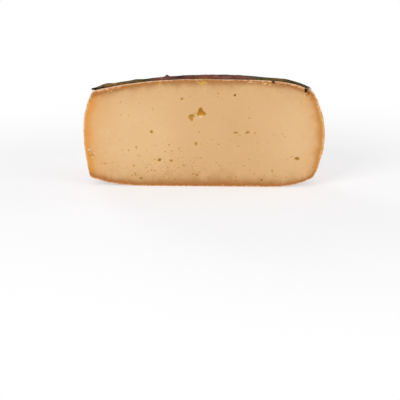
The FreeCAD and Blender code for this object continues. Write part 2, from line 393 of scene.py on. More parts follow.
def stain_field(turn, along, spots):
    """Tan stains: a wide bell round each spot, and a band where damp stood under the rim of the paper."""
    damp_band = 0.8 * np.exp(-(((along - LABEL_EDGE + 5) / 11) ** 2))
    stain = np.broadcast_to(damp_band, np.broadcast(turn, along).shape)
    for at_turn, at_along in spots:
        across = (turn - at_turn) * WHEEL_RADIUS / 9.0
        stain = np.maximum(stain, np.exp(-(across**2 + ((along - at_along) / 5.5) ** 2)))
    return stain


pits, spots = scattered_pits()
turn, along = rind_turn[None, :], rind_along[:, None]
path_radius, path_height = soft_path(turn, along)
smooth = turned(turn, path_radius, path_height)
out_radius, out_height = outward(turn, along)
pit_depth, pit_dark = pit_relief(turn, along, pits)
stain = stain_field(turn, along, spots)
lumps = 0.42 * unevenness(smooth, 34.0, 2) + 0.24 * unevenness(smooth, 13.0, 3)
lumps = lumps + 0.13 * unevenness(smooth, 5.0, 4) + 0.07 * unevenness(smooth * (1, 1, 2.2), 2.6, 5)
at_cut = np.exp(-((np.minimum(turn, HALF_TURN - turn) * WHEEL_RADIUS / 3.0) ** 2))
lumps = lumps + 0.3 * at_cut * unevenness(smooth, 3.2, 6)
under_paper = np.clip((along - LABEL_EDGE) / 3.0, 0, 1)
at_pole = np.clip(path_radius / 12.0, 0, 1)
standing = np.clip(path_height / 3.0, 0, 1)
relief = lumps * (1 - 0.85 * under_paper) - pit_depth * (1 - under_paper) - 0.1 * under_paper
relief = relief * at_pole * standing
rind_points = turned(turn, path_radius + relief * out_radius, path_height + relief * out_height)
rind_points[..., 2] = np.maximum(rind_points[..., 2], 0.0)
print(f"relief from {relief.min():.2f} to {relief.max():.2f} mm, {len(pits)} pits")

# %% [markdown]
# ## Eyes
#
# Eyes are the holes that gas left in the paste while it ripened. They are wanted twice, in the paste
# and where one breaks through the cut edge of the rind, so they come before both. Those large enough
# to count were placed one by one: a joined pair above the middle, a few round ones, some flat slits that
# the press drew out, and openings right under the rind where the curd did not knit. Each is a row:
# right of the middle, above the table, half its width, half its height, its tilt in degrees and its
# depth. The many small ones are drawn at random, thickest low on the left, as in the real cheese.

# %% Places of the eyes
PAIR = (
    (-3.6, 77.2, 2.7, 2.7, 0, 2), (-5, 74.2, 2.7, 2.4, 25, 1.9), (-1.3, 74.2, 2.8, 2.4, -25, 2.2),
    (-3.2, 75.6, 3.1, 2.7, 0, 2.6), (-13.2, 70.8, 2.9, 2.5, 10, 1.6), (-11.5, 71.6, 2.3, 1.8, 0, 1.4),
    (-12.7, 68.6, 1.9, 2.4, 0, 1.5), (-8.6, 73.7, 1.7, 1.1, 20, 0.6),
)
ROUND_EYES = (
    (-22.3, 88.6, 1.7, 1.7, 0, 1.1), (30.2, 92.8, 1.1, 1.4, 0, 1.9), (-52.7, 55.2, 1.9, 1.9, 30, 1.3),
    (-51.4, 78, 1, 0.9, 0, 0.8), (-44.5, 26.7, 2, 1.7, 20, 1.9), (-33, 26, 1.7, 1.3, -15, 1.5),
    (-8.1, 43.4, 1.5, 2.3, 25, 1.2), (-63.2, 7.3, 1.8, 1.5, -20, 1.3), (-6.8, 11.5, 1.5, 1.2, 0, 1.3),
    (-99.3, 22.3, 1.5, 1.1, 0, 0.9), (-70.5, 20.6, 1.3, 1.2, 0, 0.9), (44.7, 69.8, 1.1, 1, 0, 0.8),
    (-83.3, 84.4, 0.9, 0.9, 0, 0.7), (-64.6, 83.5, 1, 0.8, 0, 0.6), (95.8, 86.7, 1.2, 0.9, 0, 0.4),
    (-14.7, 90.9, 0.8, 0.9, 0, 0.7), (-7.9, 87.7, 0.9, 0.8, 0, 0.4), (17.6, 89.2, 1, 1, 0, 0.4),
)
SLITS = (
    (31.5, 55, 2.3, 1.2, 0, 1.2), (43.5, 55.3, 2.5, 1.3, 10, 1.3), (51, 54.8, 1, 1.5, 0, 0.8),
    (69.8, 53.7, 1.3, 0.9, 0, 0.5), (34.3, 41.4, 1.6, 1, 20, 0.7), (-48.5, 41.1, 1.7, 0.7, 10, 0.5),
    (-32.5, 36, 1.8, 0.9, 0, 0.6), (93.6, 29.2, 2.8, 1.5, -8, 2), (88.5, 30.7, 1.5, 0.9, 25, 0.7),
    (68.8, 16, 1, 1.9, 10, 0.9), (58.5, 6.4, 1.2, 2.2, -35, 1.5), (40.2, 20.9, 1.4, 1, 0, 0.7),
    (-10.7, 12.3, 1.6, 1, -15, 1.1), (32.7, 9.3, 0.9, 1.2, 0, 0.9), (-28.7, 6.1, 1, 1.3, 0, 1),
    (-38.2, 12, 0.9, 1.2, 0, 0.8), (-10.7, 28.8, 0.8, 0.9, 0, 0.6), (-6.8, 28.8, 0.8, 1.2, 0, 0.7),
    (12.7, 24, 0.7, 1.2, 15, 0.6), (-41.4, 45, 1, 1, 0, 0.4), (-35.2, 42, 1, 1, 0, 0.6),
    (-22.7, 35.5, 1.1, 1, 0, 0.4), (-57.5, 36.1, 1, 0.9, 0, 0.5), (-92.1, 23.1, 0.9, 1.1, 0, 0.5),
    (109.8, 19.9, 1.3, 1.1, 30, 0.8), (51, 12.3, 1, 0.8, 0, 0.7), (99.4, 50.3, 0.7, 0.7, 0, 0.4),
    (99.4, 34.8, 0.9, 0.8, 0, 0.4), (73.8, 10.4, 0.9, 0.7, 0, 0.6), (2.7, 44.7, 1, 0.8, 0, 0.3),
)
RIND_OPENINGS = (
    (-44.4, 104.2, 2.1, 2, 0, 1.1), (-3.9, 105.2, 2.6, 2, 0, 1.8), (0.2, 105.7, 2.2, 1.6, 0, 1.5),
    (-2.2, 103.2, 1.7, 1.4, 0, 1.1), (65.4, 105, 2.4, 1.5, 0, 1.4), (50, 106.4, 4, 0.6, -2, 0.4),
    (58.5, 105.4, 2.6, 1.3, -6, 0.9), (101.8, 92.8, 1.6, 1.7, 0, 1.4), (-95.5, 96.2, 3.2, 1.4, 8, 0.9),
    (-114, 34, 2, 2.2, 0, 0.9), (-111.9, 30.4, 1.9, 1.6, 0, 1), (-86, 98.6, 3.4, 0.8, 12, 0.6),
)
HOLES = (
    (68.4, 106.2, 1.3, 1.4, 0, 3.6), (100.9, 98.4, 1.7, 2.3, -25, 4.2), (30.2, 93, 0.7, 0.9, 0, 2.2),
    (103, 95.6, 0.8, 1.5, 20, 1.6),
)
# Each pale raised crumb: real crumbs of paste and rind at the rind, and painted highlights on the lower lips
# of the pair and of a few eyes and holes. Right of the middle, height, half its width, half its height, its
# tilt in degrees and how far it stands out.
CRUMBS_AND_HIGHLIGHTS = (
    (-3.4, 70.8, 2.3, 1.1, 0, 0.3), (30.2, 90.9, 1, 0.7, 0, 0.2), (-41.9, 26.9, 1, 1.2, 0, 0.2),
    (46, 106.2, 3.4, 0.9, 8, 0.2), (50.4, 105, 1.1, 0.5, -30, 0.15), (60.4, 105.3, 2.3, 1.1, 24, 0.3),
    (64.4, 103.4, 1.5, 0.7, -20, 0.2), (72.6, 104.4, 2.1, 0.5, -24, 0.15), (99.2, 93, 0.8, 1.2, 0, 0.3),
    (-98.5, 96, 2.4, 0.7, 22, 0.3), (-92.6, 97, 0.9, 1.7, -15, 0.3), (-84, 99.8, 2.8, 0.6, 12, 0.2),
    (-114.6, 36.2, 2, 1.1, 0, 0.4), (-110, 33, 0.9, 1.4, 0, 0.3), (-112.3, 29, 1, 0.8, 0, 0.3),
    (-1.5, 106.6, 2.2, 0.7, 0, 0.3), (-6.6, 105.9, 0.8, 1.1, 0, 0.2),
)
# Each brown scar under the rind: right of the middle, height, half its width and height, how dark.
SCARS = (
    (46.5, 104.6, 5.5, 1.6, 0.55), (57, 105.6, 2.2, 1.9, 0.8), (66.5, 104.4, 4, 2.6, 0.85),
    (101.5, 95, 3.2, 3.6, 0.7), (106.5, 91, 2.6, 5, 0.6), (-96, 96, 5, 1.8, 0.5),
    (-113, 32.5, 3, 3.6, 0.45), (-60, 101.8, 9, 1.4, 0.35),
)
BY_HAND = PAIR + ROUND_EYES + SLITS
EYE_SEED, SMALL_SEED, SMALL_RIM_SEED, OPENING_SEED, HOLE_SEED, CRUMB_AND_HIGHLIGHT_SEED = 23, 17, 29, 31, 37, 43


def small_eyes():
    """Tiny eyes: a cloud low on the left, a band over the base and a thin scatter everywhere."""
    rng = np.random.default_rng(SMALL_SEED)
    cloud = np.column_stack([rng.normal(-42, 30, 120), rng.normal(25, 14, 120)])
    low_band = np.column_stack([rng.uniform(-95, 95, 70), rng.uniform(4, 22, 70)])
    everywhere = np.column_stack([rng.uniform(-108, 108, 60), rng.uniform(8, 98, 60)])
    places = np.concatenate([cloud, low_band, everywhere])
    places = places[(np.abs(places[:, 0]) < 112) & (places[:, 1] > 4.5) & (places[:, 1] < 100)]
    size = 0.38 + 0.55 * rng.beta(1.2, 3.0, len(places))
    ratio = rng.uniform(0.7, 1.35, len(places))
    tilt = rng.uniform(-40, 40, len(places))
    return np.column_stack([places, size * ratio, size / ratio, tilt, size * 0.9])


print(f"eyes by hand: {len(BY_HAND)}, openings: {len(RIND_OPENINGS)}, small: {len(small_eyes())}")

# %% A hollow for each eye
def hollow(face, eyes, seed):
    """Depth of each point: for each eye the lower half of a ball, squeezed, turned and with a wavy rim."""
    rng = np.random.default_rng(seed)
    depth = np.zeros(face.shape[:2])
    for right, up, half_width, half_height, tilt, deepest in eyes:
        turn = math.radians(tilt)
        across, above = face[..., 0] - right, face[..., 1] - up
        first = (across * math.cos(turn) + above * math.sin(turn)) / half_width
        second = (above * math.cos(turn) - across * math.sin(turn)) / half_height
        around = np.arctan2(second, first)
        two, three, five = rng.uniform(0, 2 * HALF_TURN, 3)
        rim = 1 + 0.10 * np.sin(2 * around + two) + 0.09 * np.sin(3 * around + three)
        rim = rim + 0.05 * np.sin(5 * around + five)
        share = np.clip(1 - (np.hypot(first, second) / rim) ** 2, 0, 1)
        depth = np.maximum(depth, deepest * share**0.75)
    return depth


middle_of_pair = hollow(np.array([[[-3.4, 75.0]]]), PAIR, EYE_SEED)[0, 0]
print(f"depth in the middle of the pair: {middle_of_pair:.2f} mm")

# %% [markdown]
# The cut shows the rind edge-on, as a thin paler line round the paste. That line is a strip of faces in
# the plane of the cut between the outer skin and an inner one. The inner skin follows the outer path at
# the rind's thickness, which wavers a little, as the drying front in a real cheese does.

# %% Inner skin and cut edge of the rind
RIND_THICKNESS = 1.7
RIND_WAVER = 0.45
SHOULDER_EXTRA = (1.3, 2.0)
WALL_EXTRA = (1.2, 0.2)
INNER_TURNS = 25


def inner_path(turn, along):
    """The path moved inwards by the rind's thickness, which wavers along the path and differs by end."""
    radius, height = soft_path(turn, along)
    out_radius, out_height = outward(turn, along)
    where = np.stack(np.broadcast_arrays(along, turn * 12.0, 0.0 * along * turn), axis=-1)
    thickness = RIND_THICKNESS + RIND_WAVER * unevenness(where, 6.0, 7) + 0.18 * unevenness(where, 2.2, 8)
    on_side = np.exp(-(((along - FOOT - 50) / 32) ** 4))
    at_shoulder = np.exp(-(((along - SHOULDER - 12) / 26) ** 2))
    thickness = thickness + towards_left(WALL_EXTRA, leftness(turn)) * on_side
    thickness = thickness + towards_left(SHOULDER_EXTRA, leftness(turn)) * at_shoulder
    return np.where(along <= 0, 0.0, radius - thickness * out_radius), height - thickness * out_height


def cut_strip(outer, inner, steps=4):
    """Rows of points from the outer line to the inner one, in the plane of the cut."""
    share = np.linspace(0, 1, steps)[None, :, None]
    return outer[:, None, :] * (1 - share) + inner[:, None, :] * share


inner_turn = np.linspace(0, HALF_TURN, INNER_TURNS)[None, :]
inner_radius, inner_height = inner_path(inner_turn, along)
inner_radius[-1, :] = 0.0
inner_points = turned(inner_turn, inner_radius, inner_height)
inner_points[0, :, :] = inner_points[0, :1, :]
inner_points[-1, :, :] = inner_points[-1, :1, :]
right_strip = cut_strip(rind_points[:, 0], inner_points[:, 0])
left_strip = cut_strip(rind_points[:, -1], inner_points[:, -1])
skin_depth = np.linspace(0, 1, right_strip.shape[1])[None, :]
right_hole = hollow(right_strip[..., ::2], HOLES, HOLE_SEED)
right_strip[:, 1:-1, 1] += right_hole[:, 1:-1]
# Near black where the deepest holes break the cut edge of the rind: painted shade.
right_hole_shade = np.clip(right_hole / 2.0 - 0.2, 0, 1)
on_wall = np.clip(np.minimum(along - FOOT - 3, SHOULDER - 3 - along) / 10, 0, 1)

rind = weld("cheese_rind", [
    patch(rind_points, (0.0, 0.0, 1.0, 0.86), flip=True, pit=pit_dark * (1 - under_paper), stain=stain),
    patch(right_strip, (0.0, 0.87, 0.45, 0.93), skin=skin_depth, wall=0.85 * on_wall, hole=right_hole_shade),
    patch(left_strip, (0.5, 0.87, 0.95, 0.93), flip=True, skin=skin_depth, wall=on_wall),
    patch(inner_points, (0.0, 0.94, 1.0, 1.0), skin=1.0),
], names=("pit", "stain", "skin", "wall", "hole"))
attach(rind, "root")
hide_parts("cheese")

# %% [markdown]
# ## The paste
#
# The paste is what the knife laid bare: a flat, faintly greasy face with its eyes. Cutting them out
# with a boolean would give hundreds of tiny shells to subtract. The face is one grid instead, and each
# eye pushes its points inwards as a ball would. The grid's four sides follow the inner line of the
# rind, and its inside is blended from them, so no gap can open.

# %% Outline of the cut face
FACE_COLUMNS, FACE_ROWS = 400, 190


def cut_line(end, along):
    """Points at these lengths on the straight pieces of the rind's inner line at one end of the turn."""
    column = inner_points[:, end]
    return np.stack([np.interp(along, rind_along, column[:, axis]) for axis in (0, 2)], axis=-1)


half_columns = FACE_COLUMNS // 2
base_along = np.linspace(0, FOOT, half_columns + 1)
side_along = np.linspace(FOOT, SHOULDER, FACE_ROWS + 1)
crown_along = np.linspace(SHOULDER, PATH, half_columns + 1)
low_line = np.concatenate([cut_line(-1, base_along)[::-1], cut_line(0, base_along)[1:]])
high_line = np.concatenate([cut_line(-1, crown_along), cut_line(0, crown_along)[::-1][1:]])
left_line = cut_line(-1, side_along)
right_line = cut_line(0, side_along)


def blended(low, high, left, right):
    """A grid from its four sides: low to high, plus left to right, less what both count twice."""
    across = np.linspace(0, 1, len(low))[None, :, None]
    up = np.linspace(0, 1, len(left))[:, None, None]
    low_ends = (1 - across) * low[0] + across * low[-1]
    high_ends = (1 - across) * high[0] + across * high[-1]
    twice = (1 - up) * low_ends + up * high_ends
    upright = (1 - up) * low[None] + up * high[None]
    return upright + (1 - across) * left[:, None] + across * right[:, None] - twice


face = blended(low_line, high_line, left_line, right_line)
print("cut face", face.shape[:2], *face.min(axis=(0, 1)).round(1), "to", *face.max(axis=(0, 1)).round(1))

# %% Push the eyes into the face
eye_depth = hollow(face, BY_HAND, EYE_SEED)
small_depth = hollow(face, small_eyes(), SMALL_RIM_SEED)
opening_depth = hollow(face, RIND_OPENINGS, OPENING_SEED)
hole_depth = hollow(face, HOLES, HOLE_SEED)
crumb_and_highlight_height = hollow(face, CRUMBS_AND_HIGHLIGHTS, CRUMB_AND_HIGHLIGHT_SEED)
print(f"deepest eye {eye_depth.max():.2f} mm, deepest opening {opening_depth.max():.2f} mm")

# %% [markdown]
# Towards the rind the paste is drier and darker: a wide orange band at the left, a narrower brown one
# at the right, thin brown ones under the crown and over the base. The brown over the base is partly
# drier paste and partly painted shade. The material needs to know how far each point is from each
# side. Those distances are worked out here, once, and stored as two values of the mesh, one for the
# orange and one for the brown.

# %% Distance to the rind and the knife's waviness
def from_side(face, side, axis):
    """Distance in mm from each point to the point of a side in its own row or column."""
    return np.linalg.norm(face - np.expand_dims(side, axis), axis=-1)


from_left = from_side(face, left_line, 1)
from_right = from_side(face, right_line, 1)
from_base = from_side(face, low_line, 0)
from_crown = from_side(face, high_line, 0)
face_points = np.stack([face[..., 0], np.full(face.shape[:2], CUT), face[..., 1]], axis=-1)
waver = 1 + 0.35 * unevenness(face_points, 9.0, 11) + 0.2 * unevenness(face_points, 3.0, 12)


def fading(distance, width):
    """One at the rind, falling off as a bell of this width."""
    return np.exp(-((distance / (width * waver)) ** 2))


orange = np.maximum(fading(from_left, 8.0), 0.45 * fading(from_left, 17.0))
orange = np.maximum(orange, np.maximum(0.72 * fading(from_right, 7.0), 0.3 * fading(from_right, 13.0)))
base_share = 0.55 + 0.45 * np.exp(-(((face[..., 0] - 12) / 60) ** 2))
still_pale = 1.0
# The bands over the base are partly drier paste and partly painted shade.
for distance, width, amount in (
    (from_right, 4.6, 0.42), (from_right, 10.0, 0.12), (from_base, 5.0 * base_share, 0.9),
    (from_base, 12.0 * base_share, 0.42), (from_crown, 4.2, 0.82), (from_crown, 9.0, 0.2),
):
    still_pale = still_pale * (1 - amount * np.clip(fading(distance, width), 0, 1))
brown = 1 - still_pale


def soft_spot(right, up, half_width, half_height):
    """A bell over an oval of the face."""
    return np.exp(-(((face[..., 0] - right) / half_width) ** 2) - ((face[..., 1] - up) / half_height) ** 2)


for right, up, half_width, half_height, amount in SCARS:
    brown = np.maximum(brown, amount * soft_spot(right, up, half_width, half_height) * waver)

# Paler to the left and to the right of the face: partly the paste's own tone, partly painted light.
pale = np.maximum(soft_spot(-78.0, 50.0, 52.0, 38.0), 0.8 * soft_spot(96.0, 52.0, 34.0, 42.0))

edge = np.minimum(np.minimum(from_left, from_right), np.minimum(from_base, from_crown))
knife = 0.10 * (1 + unevenness(face_points, 26.0, 13)) + 0.05 * (1 + unevenness(face_points, 7.0, 14))
knife = knife * np.clip(edge / 2.5, 0, 1)
depth = np.maximum(np.maximum(eye_depth, opening_depth), np.maximum(small_depth, hole_depth))
face_points[..., 1] = CUT + knife + depth - crumb_and_highlight_height * np.clip(edge, 0, 1)
middle_row = FACE_ROWS // 2
print("bands at the middle row:", orange[middle_row, ::80].round(2), brown[middle_row, ::80].round(2))

# %% [markdown]
# The back of the paste lies against the inside of the rind and is never seen, but a piece has to be
# closed, so the same outline is swept round the half turn in a few coarse steps.

# %% The paste as one closed piece
back_along = np.concatenate([base_along, side_along[1:], crown_along[1:]])[:, None]
back_radius, back_height = inner_path(inner_turn, back_along)
back_radius[-1, :] = 0.0
back_points = turned(inner_turn, back_radius, back_height)
low_row, high_row = face_points[0], face_points[-1]
right_loop = [low_row[half_columns:], face_points[1:, -1], high_row[half_columns:-1][::-1]]
left_loop = [low_row[: half_columns + 1][::-1], face_points[1:, 0], high_row[1 : half_columns + 1]]
right_loop, left_loop = np.concatenate(right_loop), np.concatenate(left_loop)
back_points[:, 0] = right_loop
back_points[:, -1] = left_loop
back_points[0, :] = right_loop[0]
back_points[-1, :] = right_loop[-1]

face_values = {
    # An ochre that deepens with the depth of the eyes: painted shade.
    "eye": np.clip(np.maximum(eye_depth / 2.4, small_depth), 0, 1),
    "opening": np.clip(opening_depth, 0, 1),
    # Near black in the deepest holes: painted shade.
    "hole": np.clip(hole_depth / 2.0 - 0.2, 0, 1),
    "crumb_and_highlight": np.clip(crumb_and_highlight_height / 0.2, 0, 1),
    "orange": orange, "brown": brown, "pale": pale,
}
paste = weld("cheese_paste", [
    patch(face_points, (0.0, 0.0, 1.0, 0.93), flip=True, **face_values),
    patch(back_points, (0.0, 0.94, 1.0, 1.0), flip=True, brown=1.0),
], names=tuple(face_values))
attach(paste, "root")
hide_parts("cheese")

# %% [markdown]
# ## The paper label
#
# The dairy glues a round printed paper to the crown while the rind is still damp. It dries with fine
# folds that run outwards, its rim ruffles and stands off a little, and the knife left its cut edge
# ragged, with a few flaps that curl up. It is a thin closed sheet that follows the crown by length
# along the cheese, so it bends over the shoulder as real paper has to.

# %% Shape of the paper
PAPER, GLUE, LEAST_LIFT = 0.25, 0.3, 0.12
PAPER_TURNS, PAPER_ROWS = 301, 91
RIM_WAVES = ((5, 0.6, 0.4), (9, 0.5, 1.9), (17, 0.65, 0.7), (27, 0.5, 2.2), (41, 0.3, 1.1))
# Each raised or sunken place: right of the middle, behind the cut, half its width and depth, how high.
RAISED = (
    (-112, 0, 5, 3.2, 1.9), (-101, 2, 6, 4, 1), (-98, 11, 9, 7, 2.3),
    (-72, 0, 4, 3.5, 0.6), (-38.5, 50, 2.2, 12, 2), (-70, 40, 3, 12, 0.5),
    (88, 0, 5, 3.5, 0.4), (-59, 42, 6, 26, -0.5), (61, 42, 9, 26, -0.5),
    (83, 30, 6, 24, 0.45), (102, 8, 6, 12, 0.4),
)
# Each dark patch, partly damp and partly painted shade, the darkest in the crease of a flap: the same
# columns, but the last says how dark.
DAMP_AND_SHADE_PATCHES = (
    (-39, 50, 2.6, 12, 0.6), (-25, 20, 9, 36, 0.85), (-9, 12, 4, 16, 0.4),
    (62, 30, 8, 26, 0.9), (-110, 0, 7, 7, 0.65), (-60, 14, 9, 22, 0.6),
    (-80, 28, 7, 20, 0.6), (98, 6, 12, 22, 0.7), (84, 20, 8, 20, 0.6),
)


def paper_rim(turn):
    """Length from the middle of the crown to the paper's rim: a round moved sideways, with small waves."""
    waves = sum(height * np.sin(count * turn + phase) for count, height, phase in RIM_WAVES)
    return LABEL_RADIUS + LABEL_SHIFT * np.cos(turn) + waves


paper_turn = np.linspace(0, HALF_TURN, PAPER_TURNS)[None, :]
paper_share = graded(0, 1, PAPER_ROWS, 1.3)[:, None]
from_middle = paper_share * paper_rim(paper_turn)
paper_radius, paper_height = soft_path(paper_turn, PATH - from_middle)
paper_out_radius, paper_out_height = outward(paper_turn, PATH - from_middle)
flat_paper = turned(paper_turn, paper_radius, paper_height)
from_rim = paper_rim(paper_turn) - from_middle
from_cut = flat_paper[..., 1] - CUT
near_rim = np.exp(-((from_rim / 7.0) ** 2))
near_cut = np.exp(-((from_cut / 3.5) ** 2))


def running_outwards(round_rim, outwards, size, seed):
    """Unevenness that changes fast round the rim and slowly outwards, by these two scales."""
    where = (paper_turn * round_rim, from_middle / outwards, 0 * from_middle)
    return unevenness(np.stack(np.broadcast_arrays(*where), axis=-1), size, seed)


def over_places(rows):
    """The sum of a bell over each row's place, times the row's last number."""
    right, behind = flat_paper[..., 0], from_cut
    return sum(
        amount * np.exp(-(((right - at_right) / width) ** 2) - ((behind - at_behind) / deep) ** 2)
        for at_right, at_behind, width, deep, amount in rows
    )


folds = 0.22 * running_outwards(40, 9, 1.6, 15)
ruffle = near_rim * (0.35 + 0.45 * running_outwards(30, 6, 1.7, 16))
creases = 0.16 * unevenness(flat_paper, 9.0, 17) + 0.10 * unevenness(flat_paper, 3.2, 18)
off_pole = np.clip(from_middle / 10, 0, 1)
lift = GLUE + off_pole * (0.16 + folds * np.clip(from_middle / 40, 0, 1) + creases + ruffle)
lift = np.maximum(lift + over_places(RAISED), LEAST_LIFT)
print(f"paper stands {lift.min():.2f} to {lift.max():.2f} mm off the crown")

# %% Underside, rim and cut edge of the paper
ragged = near_cut * np.clip(unevenness(flat_paper, 3.0, 19) + 0.2, 0, 1) * 1.3
# Brown along the cut: partly browning of the paper, partly painted shade.
soiled = np.exp(-((from_cut / 15.0) ** 2)) * (0.55 + 0.45 * unevenness(flat_paper, 9.0, 21))
# Dark patches and the crease of the flap: partly damp, partly painted shade.
folded = np.clip(over_places(DAMP_AND_SHADE_PATCHES), 0, 1)


def paper_side(height_over):
    """The crown's points moved outwards by this height, with the cut edge drawn back where it is ragged."""
    radius = paper_radius + height_over * paper_out_radius
    points = turned(paper_turn, radius, paper_height + height_over * paper_out_height)
    points[..., 1] = points[..., 1] + ragged * off_pole
    points[0, :, :] = points[0, :1, :]
    return points


paper_top = paper_side(lift + PAPER)
paper_under = paper_side(lift)
rim_strip = np.stack([paper_top[-1], paper_under[-1]])
right_edge = np.stack([paper_top[:, 0], paper_under[:, 0]])
left_edge = np.stack([paper_top[:, -1], paper_under[:, -1]])

label = weld("label_paper", [
    patch(paper_top, (0.0, 0.0, 1.0, 0.88), soiled=soiled, folded=folded),
    patch(paper_under, (0.0, 0.89, 1.0, 0.95), flip=True, back=1.0),
    patch(rim_strip, (0.0, 0.96, 1.0, 0.97)),
    patch(right_edge, (0.0, 0.98, 0.45, 0.99)),
    patch(left_edge, (0.5, 0.98, 0.95, 0.99), flip=True),
], names=("back", "soiled", "folded"))
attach(label, "root")
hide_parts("label")

# %% [markdown]
# ## Finishes
#
# A finish is a tree of nodes. One function adds any node, with its settings and what feeds it, and
# another turns a colour as it is written on a paint chart into the linear numbers that Cycles counts
# with. A node takes any number of feeds: a plain value, a colour, or another node.

# %% Helpers for materials
RANGE = ("Value", "From Min", "From Max", "To Min", "To Max")


def paint(chart):
    """A colour written as six hex digits of sRGB, as linear red, green, blue and a full alpha."""
    parts = [int(chart[at : at + 2], 16) / 255 for at in (1, 3, 5)]
    linear = [part / 12.92 if part <= 0.04045 else ((part + 0.055) / 1.055) ** 2.4 for part in parts]
    return (*linear, 1.0)


def feed(node, feeds):
    """Feeds inputs, by name or number, with a number, a colour, a socket, or a node's first live output."""
    for name, value in feeds.items():
        live = [socket for socket in node.inputs if socket.enabled and socket.name == name]
        socket = live[0] if live else node.inputs[name]
        if isinstance(value, bpy.types.Node):
            value = next(output for output in value.outputs if output.enabled)
        if isinstance(value, bpy.types.NodeSocket):
            node.id_data.links.new(value, socket)
        else:
            socket.default_value = paint(value) if isinstance(value, str) else value


def add(tree, kind, feeds=None, stops=(), **settings):
    """One node: its settings, the stops of its ramp if it has one, and its feeds."""
    node = tree.nodes.new("ShaderNode" + kind)
    for name, value in settings.items():
        setattr(node, name, value)
    for _ in stops[2:]:
        node.color_ramp.elements.new(0.5)
    if stops:
        for element, (position, chart) in zip(node.color_ramp.elements, stops):
            element.position = position
            element.color = paint(chart)
    feed(node, feeds or {})
    return node


def finish_of(name):
    """A new material, a way to put nodes into its tree, its shader, and its object's own coordinates."""
    material = bpy.data.materials.new(name)
    material.use_nodes = True
    put = functools.partial(add, material.node_tree)
    return material, put, material.node_tree.nodes["Principled BSDF"], put("TexCoord").outputs["Object"]


def per_mm(size):
    """The scale, in metres of space, of a noise whose features are about this many millimetres apart."""
    return 1 / (size * MM)


print("mid paste in linear light:", [round(part, 3) for part in paint("#dcb37f")])

# %% [markdown]
# ### Paste
#
# Ripened paste is a dense, slightly oily solid. Light goes a few millimetres in, which takes the edge
# off shadows in the eyes, and the cut face has a weak, broad shine. Its straw colour drifts slowly and
# is paler at the left and the right, partly the paste's own tone and partly painted light. The stored
# values lay over it the orange and brown bands, the band over the base partly painted shade; an ochre
# in the eyes that deepens with their depth, which is painted shade; near black in the deepest holes,
# which is painted shade; and pale crumbs, some of them painted highlights on the lower lips of eyes.

# %% Finish of the paste
def ripened_paste():
    material, put, shader, place = finish_of("ripened_paste")
    drift, grain, dents = (
        put("TexNoise", {"Vector": place, "Scale": per_mm(size), "Detail": detail})
        for size, detail in ((35, 2.0), (1.6, 3.0), (2.4, 4.0))
    )
    fleck = put("MapRange", dict(zip(RANGE, (grain, 0.3, 0.7, 0.0, 0.13))))
    shine = put("MapRange", dict(zip(RANGE, (grain, 0.3, 0.7, 0.46, 0.6))))
    stored = {
        name: put("Attribute", attribute_name=name).outputs["Fac"]
        for name in ("pale", "orange", "brown", "eye", "opening", "hole", "crumb_and_highlight")
    }
    # Paler to the left and the right: partly the paste's own tone, partly painted light.
    tone = put("Math", {0: drift, 1: 0.5, 2: stored["pale"]}, operation="MULTIPLY_ADD")
    colour, ochre = (
        put("ValToRGB", {"Fac": value}, stops=stops)
        for value, stops in (
            (tone, ((0.15, "#d9ae79"), (0.55, "#deb480"), (1.0, "#e4bc88"))),
            # Ochre in the eyes, deeper where they are deeper: painted shade.
            (stored["eye"], ((0.0, "#caa244"), (0.45, "#b9882c"), (1.0, "#bb7a0a"))),
        )
    )
    layers = [(fleck, "#c99a62")]
    for name, gain, tint in (
        ("orange", 1.0, "#de9845"), ("brown", 1.0, "#a46829"), ("eye", 2.5, ochre),
        # Near black in the deepest holes is painted shade.
        # Pale crumbs: partly real crumbs, partly painted highlights on the lower lips of eyes.
        ("opening", 1.0, "#d3a24a"), ("hole", 1.0, "#35180c"), ("crumb_and_highlight", 0.65, "#efcba0"),
    ):
        layers.append((put("Math", {0: stored[name], 1: gain}, operation="MULTIPLY", use_clamp=True), tint))
    for share, tint in layers:
        colour = put("Mix", {"Factor": share, "A": colour, "B": tint}, data_type="RGBA")
    feed(shader, {
        "Base Color": colour, "Roughness": shine, "Specular IOR Level": 0.35, "Subsurface Weight": 0.12,
        "Subsurface Radius": (1.0, 0.55, 0.25), "Subsurface Scale": 3 * MM,
        "Normal": put("Bump", {"Height": dents, "Strength": 0.25, "Distance": 0.25 * MM}),
    })
    return material


paste.data.materials.append(ripened_paste())
print("paste finish:", len(paste.data.materials[0].node_tree.nodes), "nodes")

# %% [markdown]
# ### Rind
#
# A washed and dried rind is matt, pinkish beige, with paler dusty patches where the bloom is left and
# tan where the brine stood. Fine creases run along the wheel, so their noise is squeezed upwards. Small
# dark specks sit in the pits, whose places the mesh stored, and short brown curls gather at the stains.
# On the cut the rind turns from pale pink outside to orange brown where it meets the paste.

